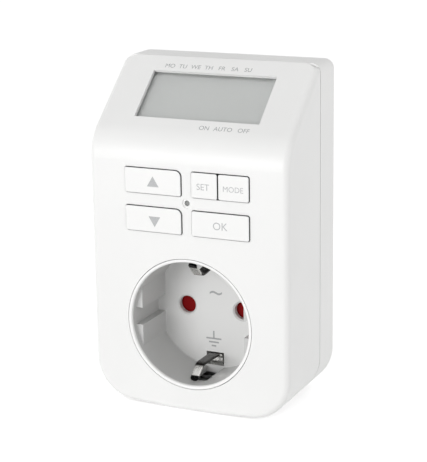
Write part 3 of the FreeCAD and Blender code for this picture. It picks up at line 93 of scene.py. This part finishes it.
# Signs in the recess's floor: the earth sign's bars as across, up, width and height
EARTH_BARS = ((0, 1.4, 0.5, 2.4), (0, 0.1, 5.2, 0.5), (0, -1.1, 3.4, 0.5), (0, -2.3, 1.6, 0.5))
EARTH_SIGN = (-0.4, -10.2)
CURRENT_SIGN = (0.5, 5.2)
CURRENT_HEIGHT = 5.5

# The earth strip: depth behind the socket's face, distance from its axis, half width
UPPER_TONGUE = ((2.4, 18.6, 1.3), (3.6, 17.6, 1.3), (6.0, 15.0, 1.35), (7.2, 14.1, 1.4),
                (8.4, 13.8, 1.45), (11.0, 14.1, 1.5), (17.4, 14.95, 1.6))
LOWER_TONGUE = ((2.4, 18.6, 1.3), (3.6, 17.8, 1.3), (6.0, 15.9, 1.35), (7.2, 15.0, 1.4),
                (8.4, 14.8, 1.45), (11.0, 14.9, 1.5), (17.4, 15.0, 1.6))
STRIP_RUN = ((18.3, 15.15, 2.4), (18.8, 15.6, 2.6), (18.5, 17.7, 2.6), (18.9, 18.2, 2.6),
             (20.6, 18.1, 2.6), (22.0, 16.85, 2.7), (34.9, 16.85, 2.7), (35.6, 16.1, 2.7),
             (35.6, 8.0, 2.7))
STRIP_WALL = 0.7
STRIP_EDGE = 0.12


def linear(colour):
    """An sRGB hex colour as the linear values that a shader takes."""
    parts = [int(colour[i:i + 2], 16) / 255 for i in (1, 3, 5)]
    return [p / 12.92 if p <= 0.04045 else ((p + 0.055) / 1.055) ** 2.4 for p in parts] + [1]


def node(tree, kind, settings=None, inputs=None):
    """Adds a node, sets its properties, and fills or links its inputs."""
    made = tree.nodes.new(kind)
    for name, value in (settings or {}).items():
        setattr(made, name, value)
    for name, value in (inputs or {}).items():
        if isinstance(value, bpy.types.NodeSocket):
            tree.links.new(value, made.inputs[name])
        else:
            made.inputs[name].default_value = value
    return made


def shades(tree, factor, stops):
    """A colour ramp over a factor, from pairs of place and colour."""
    ramp = node(tree, "ShaderNodeValToRGB", inputs={"Fac": factor})
    points = ramp.color_ramp.elements
    while len(points) < len(stops):
        points.new(0.5)
    for point, (place, colour) in zip(points, stops):
        point.position = place
        point.color = linear(colour)
    return ramp.outputs["Color"]


def new_material(name):
    """An empty node material with its tree and the object's own coordinates."""
    made = bpy.data.materials.new(name)
    made.use_nodes = True
    made.node_tree.nodes.clear()
    tree = made.node_tree
    return made, tree, node(tree, "ShaderNodeTexCoord").outputs["Object"]


def surface(tree, inputs):
    """Ends a material in one principled shader."""
    shader = node(tree, "ShaderNodeBsdfPrincipled", inputs=inputs)
    node(tree, "ShaderNodeOutputMaterial", inputs={"Surface": shader.outputs["BSDF"]})


def moulded(name, colour, shade, rough, grain_mm, depth_mm, ior=1.54, gloss=0.5):
    """Moulded plastic: a fine grain of a given width and depth, and a slow drift of colour."""
    made, tree, place = new_material(name)
    grain = node(tree, "ShaderNodeTexNoise", inputs={
        "Vector": place, "Scale": 1 / (grain_mm * MM), "Detail": 3, "Roughness": 0.6})
    drift = node(tree, "ShaderNodeTexNoise", inputs={
        "Vector": place, "Scale": 1 / (22 * MM), "Detail": 2})
    sheen = node(tree, "ShaderNodeMapRange", inputs={
        "Value": drift.outputs["Fac"], "From Min": 0.3, "From Max": 0.7,
        "To Min": rough - 0.04, "To Max": rough + 0.04})
    bump = node(tree, "ShaderNodeBump", inputs={
        "Height": grain.outputs["Fac"], "Distance": depth_mm * MM, "Strength": 0.7})
    surface(tree, {
        "Base Color": shades(tree, drift.outputs["Fac"], [(0.3, colour), (0.7, shade)]),
        "Roughness": sheen.outputs["Result"], "IOR": ior, "Specular IOR Level": gloss,
        "Normal": bump.outputs["Normal"]})
    return made


def drawn_metal(name, colour, shade, rough, line_mm, along):
    """Rolled or drawn metal: fine lines that run one way, with a slight stain."""
    made, tree, place = new_material(name)
    stretch = [1 / (line_mm * MM)] * 3
    stretch["xyz".index(along)] /= 24
    lined = node(tree, "ShaderNodeMapping", inputs={"Vector": place, "Scale": stretch})
    lines = node(tree, "ShaderNodeTexNoise", inputs={
        "Vector": lined.outputs["Vector"], "Scale": 1, "Detail": 2})
    stain = node(tree, "ShaderNodeTexNoise", inputs={
        "Vector": place, "Scale": 1 / (5 * MM), "Detail": 3})
    finish = node(tree, "ShaderNodeMapRange", inputs={
        "Value": lines.outputs["Fac"], "From Min": 0.3, "From Max": 0.7,
        "To Min": rough - 0.07, "To Max": rough + 0.07})
    bump = node(tree, "ShaderNodeBump", inputs={
        "Height": lines.outputs["Fac"], "Distance": 0.004 * MM, "Strength": 0.5})
    surface(tree, {
        "Base Color": shades(tree, stain.outputs["Fac"], [(0.35, colour), (0.7, shade)]),
        "Metallic": 1.0, "Roughness": finish.outputs["Result"], "Normal": bump.outputs["Normal"]})
    return made


def laminate():
    """Green solder mask over copper tracks on glass-fibre board."""
    made, tree, place = new_material("solder_masked_glass_laminate")
    tracks = node(tree, "ShaderNodeTexBrick", {"offset": 0.5}, {
        "Vector": place, "Scale": 1, "Brick Width": 3.2 * MM, "Row Height": 1.1 * MM,
        "Mortar Size": 0.18 * MM, "Color1": [1, 1, 1, 1], "Color2": [1, 1, 1, 1],
        "Mortar": [0, 0, 0, 1]})
    weave = node(tree, "ShaderNodeTexNoise", inputs={"Vector": place, "Scale": 1 / (0.6 * MM)})
    bump = node(tree, "ShaderNodeBump", inputs={
        "Height": tracks.outputs["Color"], "Distance": 0.035 * MM, "Strength": 0.8})
    mixed = node(tree, "ShaderNodeMath", {"operation": "MULTIPLY"}, {
        0: tracks.outputs["Color"], 1: weave.outputs["Fac"]})
    surface(tree, {
        "Base Color": shades(tree, mixed.outputs["Value"], [(0.0, "#1F5A34"), (0.6, "#2E7A48")]),
        "Roughness": 0.32, "IOR": 1.55, "Normal": bump.outputs["Normal"]})
    return made


def lens_acrylic():
    """Clear polished acrylic: light passes through, with a slight gloss and fine scuffs."""
    made, tree, place = new_material("clear_polished_acrylic")
    scuffs = node(tree, "ShaderNodeTexNoise", inputs={
        "Vector": place, "Scale": 1 / (1.5 * MM), "Detail": 4})
    rough = node(tree, "ShaderNodeMapRange", inputs={
        "Value": scuffs.outputs["Fac"], "From Min": 0.4, "From Max": 0.8,
        "To Min": 0.03, "To Max": 0.1})
    surface(tree, {
        "Base Color": linear("#FDFEFE"), "Roughness": rough.outputs["Result"], "IOR": 1.49,
        "Transmission Weight": 1.0})
    return made


def display_glass():
    """A reflective liquid-crystal cell: grey polariser film over glass, with a faint sparkle."""
    made, tree, place = new_material("grey_polariser_film")
    sparkle = node(tree, "ShaderNodeTexNoise", inputs={
        "Vector": place, "Scale": 1 / (0.35 * MM), "Detail": 2})
    surface(tree, {
        "Base Color": shades(tree, sparkle.outputs["Fac"], [(0.3, "#D9DAD8"), (0.7, "#DEDFDD")]),
        "Roughness": 0.42, "IOR": 1.5})
    return made


def turned_by_depth(tree, place, stops):
    """A colour ramp over the depth, from pairs of the frame's Y in millimetres and colour."""
    near, far = stops[0][0], stops[-1][0]
    depth = node(tree, "ShaderNodeSeparateXYZ", inputs={"Vector": place})
    factor = node(tree, "ShaderNodeMapRange", inputs={
        "Value": depth.outputs["Y"], "From Min": near * MM, "From Max": far * MM})
    return shades(tree, factor.outputs["Result"],
                  [((at - near) / (far - near), colour) for at, colour in stops])


def painted_depth_shade(name, stops, rough, grain_mm, depth_mm):
    """Colour ramped by depth as painted light and shade: one colour in front, another from a given
    depth on.
    """
    made, tree, place = new_material(name)
    grain = node(tree, "ShaderNodeTexNoise", inputs={
        "Vector": place, "Scale": 1 / (grain_mm * MM), "Detail": 3, "Roughness": 0.6})
    sheen = node(tree, "ShaderNodeMapRange", inputs={
        "Value": grain.outputs["Fac"], "From Min": 0.3, "From Max": 0.7,
        "To Min": rough - 0.03, "To Max": rough + 0.03})
    bump = node(tree, "ShaderNodeBump", inputs={
        "Height": grain.outputs["Fac"], "Distance": depth_mm * MM, "Strength": 0.7})
    surface(tree, {
        "Base Color": turned_by_depth(tree, place, stops),
        "Roughness": sheen.outputs["Result"], "IOR": 1.54, "Normal": bump.outputs["Normal"]})
    return made


def clip_painted_light():
    """Sprung contact strip with painted light: a painted shadow at the tip, a painted highlight on
    the nose and in the floor, a painted dark reflection between.
    """
    made, tree, place = new_material("nickel_strip_painted_light")
    lines = node(tree, "ShaderNodeTexNoise", inputs={
        "Vector": place, "Scale": 1 / (0.35 * MM), "Detail": 3})
    finish = node(tree, "ShaderNodeMapRange", inputs={
        "Value": lines.outputs["Fac"], "From Min": 0.3, "From Max": 0.7,
        "To Min": 0.18, "To Max": 0.34})
    # By depth: painted shadow at the tip, painted highlight on the nose, painted dark reflection
    # between, painted highlight in the floor.
    surface(tree, {
        "Base Color": turned_by_depth(tree, place, [
            (-35.0, "#161616"), (-33.5, "#161616"), (-33.3, "#F2F1EE"), (-30.7, "#F2F1EE"),
            (-30.2, "#343331"), (-19.6, "#3C3A37"), (-19.1, "#F2F1EE"), (-12.0, "#C5C3BE")]),
        "Metallic": 1.0, "Roughness": finish.outputs["Result"]})
    return made


# Materials by slot. A moulding's numbers are its roughness, its grain's width and depth in
# millimetres, and its refraction and gloss where they aren't plain ABS's.
MATERIALS = {
    # White ABS from an eroded tool: a soft satin that shows next to no gloss.
    "case_abs": moulded("satin_white_abs", "#F5F5F4", "#F3F3F2", 0.42, 0.45, 0.012),
    # White key caps; behind the front the skirt is painted dark grey as painted shade in the gap
    # round each key.
    "key_abs": painted_depth_shade("white_abs_painted_gap_shade", [
        (-37.5, "#F6F6F5"), (-37.4, "#F6F6F5"), (-37.36, "#4E5052"), (-36.0, "#4E5052")],
        0.36, 0.3, 0.006),
    # The reset plunger is painted dark grey as painted shade in its pinhole.
    "reset_abs": moulded("grey_abs_painted_hole_shade", "#8C8D8C", "#868786", 0.4, 0.3, 0.006),
    # Matt red nylon, painted darker than its own red as painted shade in the deep entry holes.
    "shutter_nylon": moulded("matt_red_nylon_painted_hole_shade", "#860207", "#7A0206", 0.6, 0.5, 0.01, 1.53, 0.1),
    "spring_wire": drawn_metal("drawn_spring_steel", "#B9BABC", "#A6A7A9", 0.28, 0.2, "y"),
    "carrier_nylon": moulded("natural_nylon", "#DAD7CD", "#D3D0C5", 0.45, 0.6, 0.012, 1.53),
    "brass_strip": drawn_metal("rolled_brass", "#D9B765", "#CBA653", 0.3, 0.25, "z"),
    # Nickel over the strip's rolled lines: bright, with soft streaks.
    "plated_strip": drawn_metal("nickel_plated_strip", "#D6D4CF", "#C4C2BD", 0.2, 0.3, "y"),
    "plated_pin": drawn_metal("nickel_plated_pin", "#D8D6D1", "#CAC8C3", 0.22, 0.25, "y"),
    "clear_acrylic": lens_acrylic(),
    "display_glass": display_glass(),
    "frame_abs": moulded("white_abs", "#ECECEB", "#E8E8E7", 0.5, 0.5, 0.01),
    "strip_rubber": moulded("pink_striped_silicone", "#D8A7A0", "#C99189", 0.55, 0.3, 0.01, 1.41),
    "board_laminate": laminate(),
    "black_moulding": moulded("matt_black_epoxy", "#1E1F20", "#27282A", 0.5, 0.35, 0.012),
    "can_steel": drawn_metal("plain_steel_can", "#C2C3C5", "#B3B4B6", 0.3, 0.3, "x"),
    "relay_case": moulded("blue_polyester", "#2B5FA8", "#27579C", 0.4, 0.4, 0.01, 1.57),
    "film_case": moulded("yellow_polyester", "#D9B23C", "#CDA432", 0.42, 0.4, 0.01, 1.57),
    "capacitor_sleeve": moulded("shrunk_pvc_sleeve", "#26303A", "#1F2831", 0.3, 0.8, 0.01),
    "varistor_coat": moulded("dipped_blue_epoxy", "#2E63B0", "#2857A0", 0.35, 0.9, 0.03),
    "resistor_coat": moulded("dipped_grey_green_epoxy", "#8B9A86", "#7F8E7A", 0.45, 0.7, 0.02),
    "header_brass": drawn_metal("tinned_brass_pin", "#CFCDC6", "#BDBBB4", 0.3, 0.2, "y"),
    "ribbon_film": moulded("copper_lined_polyimide", "#B9772B", "#A86A22", 0.35, 0.5, 0.004, 1.7),
    "screw_steel": drawn_metal("zinc_plated_screw", "#C9CBCC", "#B6B9BC", 0.3, 0.25, "y"),
}


def dress_nodes():
    """Gives every solid the material of its slot, and the socket insert its painted recess light
    and shade.
    """
    for part in frame["record"]["subparts"]:
        slots = frame["nodes"][part["node"]].data.materials
        if not slots:
            slots.append(None)
        for index in range(len(slots)):
            slots[index] = MATERIALS[part["material_slot"]]
    frame["nodes"]["socket_insert"].data.materials[0] = PAINTED_RECESS_SHADING


def piece(name, mesh, material, body):
    """Links a finished mesh as a piece of the object that rides on a body."""
    mesh.materials.clear()
    mesh.materials.append(material)
    made = bpy.data.objects.new(name, mesh)
    bpy.context.scene.collection.objects.link(made)
    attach(made, body)
    return made


def as_mesh(name, shape):
    """Turns a finished drawing into a mesh."""
    mesh = bpy.data.meshes.new(name)
    shape.to_mesh(mesh)
    shape.free()
    return mesh


def printed(name, shape, place):
    """Gives a flat drawing the thickness of print, and moves it to its place as a mesh."""
    grown = bmesh.ops.extrude_face_region(shape, geom=shape.faces[:])
    top = [vert for vert in grown["geom"] if isinstance(vert, bmesh.types.BMVert)]
    bmesh.ops.translate(shape, verts=top, vec=(0, 0, 2 * PRINT * MM))
    bmesh.ops.recalc_face_normals(shape, faces=shape.faces)
    mesh = as_mesh(name, shape)
    mesh.transform(place)
    return mesh


def upright(x, y, z):
    """Turns a flat print, drawn in X and Y, to face the front at a place in millimetres."""
    return Matrix.Translation(Vector((x, y, z)) * MM) @ Matrix.Rotation(math.radians(90), 4, "X")


def on_slope(x, up):
    """The same for a print on the sloped face, at a distance up it."""
    place = (SLOPE_FOOT + Vector((x, 0, 0)) + SLOPE_UP * up) * MM
    turn = Matrix((Vector((1, 0, 0)), SLOPE_UP, SLOPE_OUT)).transposed()
    return Matrix.Translation(place) @ turn.to_4x4()


def ink_and_painted_shade(name, grey):
    """Pad-printed ink, and painted shade for the floor's moulded signs: matt, a hair thinner in
    places.
    """
    made, tree, place = new_material(name)
    patches = node(tree, "ShaderNodeTexNoise", inputs={
        "Vector": place, "Scale": 1 / (0.5 * MM), "Detail": 3})
    thin = "#%02X%02X%02X" % tuple(min(255, int(grey[i:i + 2], 16) + 14) for i in (1, 3, 5))
    surface(tree, {
        "Base Color": shades(tree, patches.outputs["Fac"], [(0.45, grey), (0.8, thin)]),
        "Roughness": 0.6, "IOR": 1.5})
    return made


INK = ink_and_painted_shade("pad_printed_grey_ink", "#BABBBC")
SLOPE_INK = ink_and_painted_shade("pad_printed_light_grey_ink", "#A9AAAB")
# Painted shade standing in for the shading of the signs moulded in the recess's floor.
SIGN_SHADE = ink_and_painted_shade("painted_sign_shade", "#A8A9AA")
CLIP_METAL = clip_painted_light()
# The socket insert coloured by depth as painted light and shade: a painted lighter lip, painted
# shade on the recess's walls, a painted lighter floor.
PAINTED_RECESS_SHADING = painted_depth_shade("white_abs_painted_recess_light_and_shade", [
    (-37.2, "#FCFCFB"), (-36.3, "#FCFCFB"), (-35.9, "#CDCDCC"), (-19.2, "#CDCDCC"),
    (-18.6, "#E6E6E5"), (-17.0, "#E6E6E5")], 0.42, 0.45, 0.012)


def lettering(name, text, height, place, body, material):
    """A printed word, centred on its place, as a thin mesh."""
    curve = bpy.data.curves.new(name, "FONT")
    curve.body = text
    curve.size = height / CAP_HEIGHT * MM
    curve.align_x = "CENTER"
    curve.align_y = "CENTER"
    curve.extrude = PRINT * MM
    source = bpy.data.objects.new(name + "_text", curve)
    bpy.context.scene.collection.objects.link(source)
    mesh = bpy.data.meshes.new_from_object(source)
    bpy.data.objects.remove(source)
    mesh.transform(place)
    return piece(name, mesh, material, body)


def arrow(name, width, height, place, body):
    """A printed triangle, its point up; a negative height points it down."""
    shape = bmesh.new()
    bmesh.ops.create_circle(shape, cap_ends=True, segments=3, radius=1)
    bmesh.ops.transform(shape, verts=shape.verts, matrix=Matrix.Diagonal(
        (width / math.sqrt(3) * MM, height / 1.5 * MM, 1, 1)))
    bmesh.ops.translate(shape, verts=shape.verts, vec=(0, 0, -PRINT * MM))
    return piece(name, printed(name, shape, place), INK, body)


def legends():
    """The generic words and signs on the keys and round the display."""
    for name, height, x, z, body in KEY_MARKS:
        arrow(name, MARK_WIDTH, height, upright(x, KEY_FACE, z), body)
    for name, text, height, x, z, body in KEY_WORDS:
        lettering(name, text, height, upright(x, KEY_FACE, z), body, INK)
    for number, day in enumerate(DAYS):
        lettering(f"day_{day}", day, SLOPE_TEXT, on_slope(FIRST_DAY + DAY_PITCH * number, DAY_LINE),
                  "case", SLOPE_INK)
    for name, text, x in MODES:
        lettering(name, text, SLOPE_TEXT, on_slope(x, MODE_LINE), "case", SLOPE_INK)


def flat_bar(shape, across, up, width, height):
    """Adds one thin bar, centred at a place, to a flat drawing."""
    made = bmesh.ops.create_grid(shape, x_segments=1, y_segments=1, size=0.5)
    bmesh.ops.transform(shape, verts=made["verts"], matrix=(
        Matrix.Translation(Vector((across, up, 0)) * MM)
        @ Matrix.Diagonal((width * MM, height * MM, 1, 1))))


def floor_marks():
    """The plain signs in the recess's floor, drawn flat in painted shade in place of their moulded
    relief: alternating current above, earth below.
    """
    shape = bmesh.new()
    for bar in EARTH_BARS:
        flat_bar(shape, *bar)
    across, up = EARTH_SIGN
    mesh = printed("earth_sign", shape, upright(across, RECESS_FLOOR, AXIS_HEIGHT + up))
    piece("earth_sign", mesh, SIGN_SHADE, "case")
    across, up = CURRENT_SIGN
    lettering("current_sign", "~", CURRENT_HEIGHT, upright(across, RECESS_FLOOR, AXIS_HEIGHT + up),
              "case", SIGN_SHADE)


def earth_clips():
    """Both sprung clips and the strip that joins them behind the socket, bent from one piece."""
    line = [*UPPER_TONGUE, *STRIP_RUN,
            *((deep, -out, half) for deep, out, half in reversed((*LOWER_TONGUE, *STRIP_RUN)))]
    shape = bmesh.new()
    deep, out, half = line[0]
    edge = shape.edges.new([
        shape.verts.new(Vector((side * half, FRONT + deep, AXIS_HEIGHT + out)) * MM)
        for side in (-1, 1)])
    for deep, out, half in line[1:]:
        grown = bmesh.ops.extrude_edge_only(shape, edges=[edge])["geom"]
        edge = next(item for item in grown if isinstance(item, bmesh.types.BMEdge))
        for vert in edge.verts:
            side = math.copysign(1, vert.co.x)
            vert.co = Vector((side * half, FRONT + deep, AXIS_HEIGHT + out)) * MM
    bmesh.ops.recalc_face_normals(shape, faces=shape.faces)
    mesh = as_mesh("earth_clips", shape)
    mesh.shade_smooth()
    made = piece("earth_clips", mesh, CLIP_METAL, "case")
    made.modifiers.new("bends", "SUBSURF").levels = 2
    wall = made.modifiers.new("wall", "SOLIDIFY")
    wall.thickness = STRIP_WALL * MM
    wall.offset = 0
    edges = made.modifiers.new("edges", "BEVEL")
    edges.width = STRIP_EDGE * MM
    edges.segments = 2
    edges.limit_method = "ANGLE"
    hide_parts("earth_bracket")


def seen_rays(tree):
    """One for rays that the camera sees, in gloss and through glass too, and zero for others."""
    path = node(tree, "ShaderNodeLightPath")
    rays = path.outputs["Is Camera Ray"]
    for kind in ("Is Glossy Ray", "Is Transmission Ray"):
        either = node(tree, "ShaderNodeMath", {"operation": "MAXIMUM"}, {
            0: rays, 1: path.outputs[kind]})
        rays = either.outputs["Value"]
    return rays


def stage():
    """A plain pale floor that shows white to the camera and keeps the object's shadow."""
    shape = bmesh.new()
    bmesh.ops.create_grid(shape, x_segments=1, y_segments=1, size=FLOOR_HALF)
    mesh = as_mesh("floor", shape)
    material, tree, _ = new_material("pale_floor")
    matt = node(tree, "ShaderNodeBsdfDiffuse", inputs={"Color": linear("#F4F4F4")})
    lift = node(tree, "ShaderNodeEmission", inputs={
        "Color": [1, 1, 1, 1], "Strength": FLOOR_LIFT})
    both = node(tree, "ShaderNodeAddShader", inputs={
        0: matt.outputs["BSDF"], 1: lift.outputs["Emission"]})
    mixed = node(tree, "ShaderNodeMixShader", inputs={
        0: seen_rays(tree), 1: matt.outputs["BSDF"], 2: both.outputs["Shader"]})
    node(tree, "ShaderNodeOutputMaterial", inputs={"Surface": mixed.outputs["Shader"]})
    mesh.materials.append(material)
    floor = bpy.data.objects.new("floor", mesh)
    bpy.context.scene.collection.objects.link(floor)


def lighting():
    """Soft light from all round, stronger low down, and two soft lamps."""
    world = bpy.data.worlds.new("studio")
    bpy.context.scene.world = world
    world.use_nodes = True
    tree = world.node_tree
    tree.nodes.clear()
    place = node(tree, "ShaderNodeTexCoord").outputs["Generated"]
    height = node(tree, "ShaderNodeSeparateXYZ", inputs={"Vector": place})
    sky = node(tree, "ShaderNodeMapRange", inputs={
        "Value": height.outputs["Z"], "To Min": SKY_LOW, "To Max": SKY_HIGH})
    level = node(tree, "ShaderNodeMapRange", inputs={
        "Value": seen_rays(tree), "To Min": sky.outputs["Result"], "To Max": 1.0})
    light = node(tree, "ShaderNodeBackground", inputs={
        "Color": [1, 1, 1, 1], "Strength": level.outputs["Result"]})
    node(tree, "ShaderNodeOutputWorld", inputs={"Surface": light.outputs["Background"]})
    for softbox in SOFTBOXES:
        lamp(*softbox)


def lamp(name, place, size, watts):
    """A square soft lamp that looks at the object."""
    light = bpy.data.lights.new(name, "AREA")
    light.shape = "SQUARE"
    light.size = size
    light.energy = watts
    made = bpy.data.objects.new(name, light)
    made.location = place
    aim = Vector(LIT_POINT) - Vector(place)
    made.rotation_euler = aim.to_track_quat("-Z", "Y").to_euler()
    bpy.context.scene.collection.objects.link(made)


def camera():
    """The photograph's view, with the lens set on the picture's height."""
    data = bpy.data.cameras.new("view")
    data.sensor_fit = "VERTICAL"
    data.sensor_height = SENSOR_HEIGHT
    data.lens = FOCAL_LENGTH * SENSOR_HEIGHT / PICTURE_HEIGHT
    data.clip_start = 0.01
    made = bpy.data.objects.new("view", data)
    made.matrix_world = (Matrix.Translation(VIEW_PLACE * MM)
                         @ Matrix(VIEW_AXES).transposed().to_4x4())
    bpy.context.scene.collection.objects.link(made)
    bpy.context.scene.camera = made


camera()
lighting()
stage()
dress_nodes()
legends()
floor_marks()
earth_clips()
bpy.context.scene.view_settings.view_transform = "Standard"
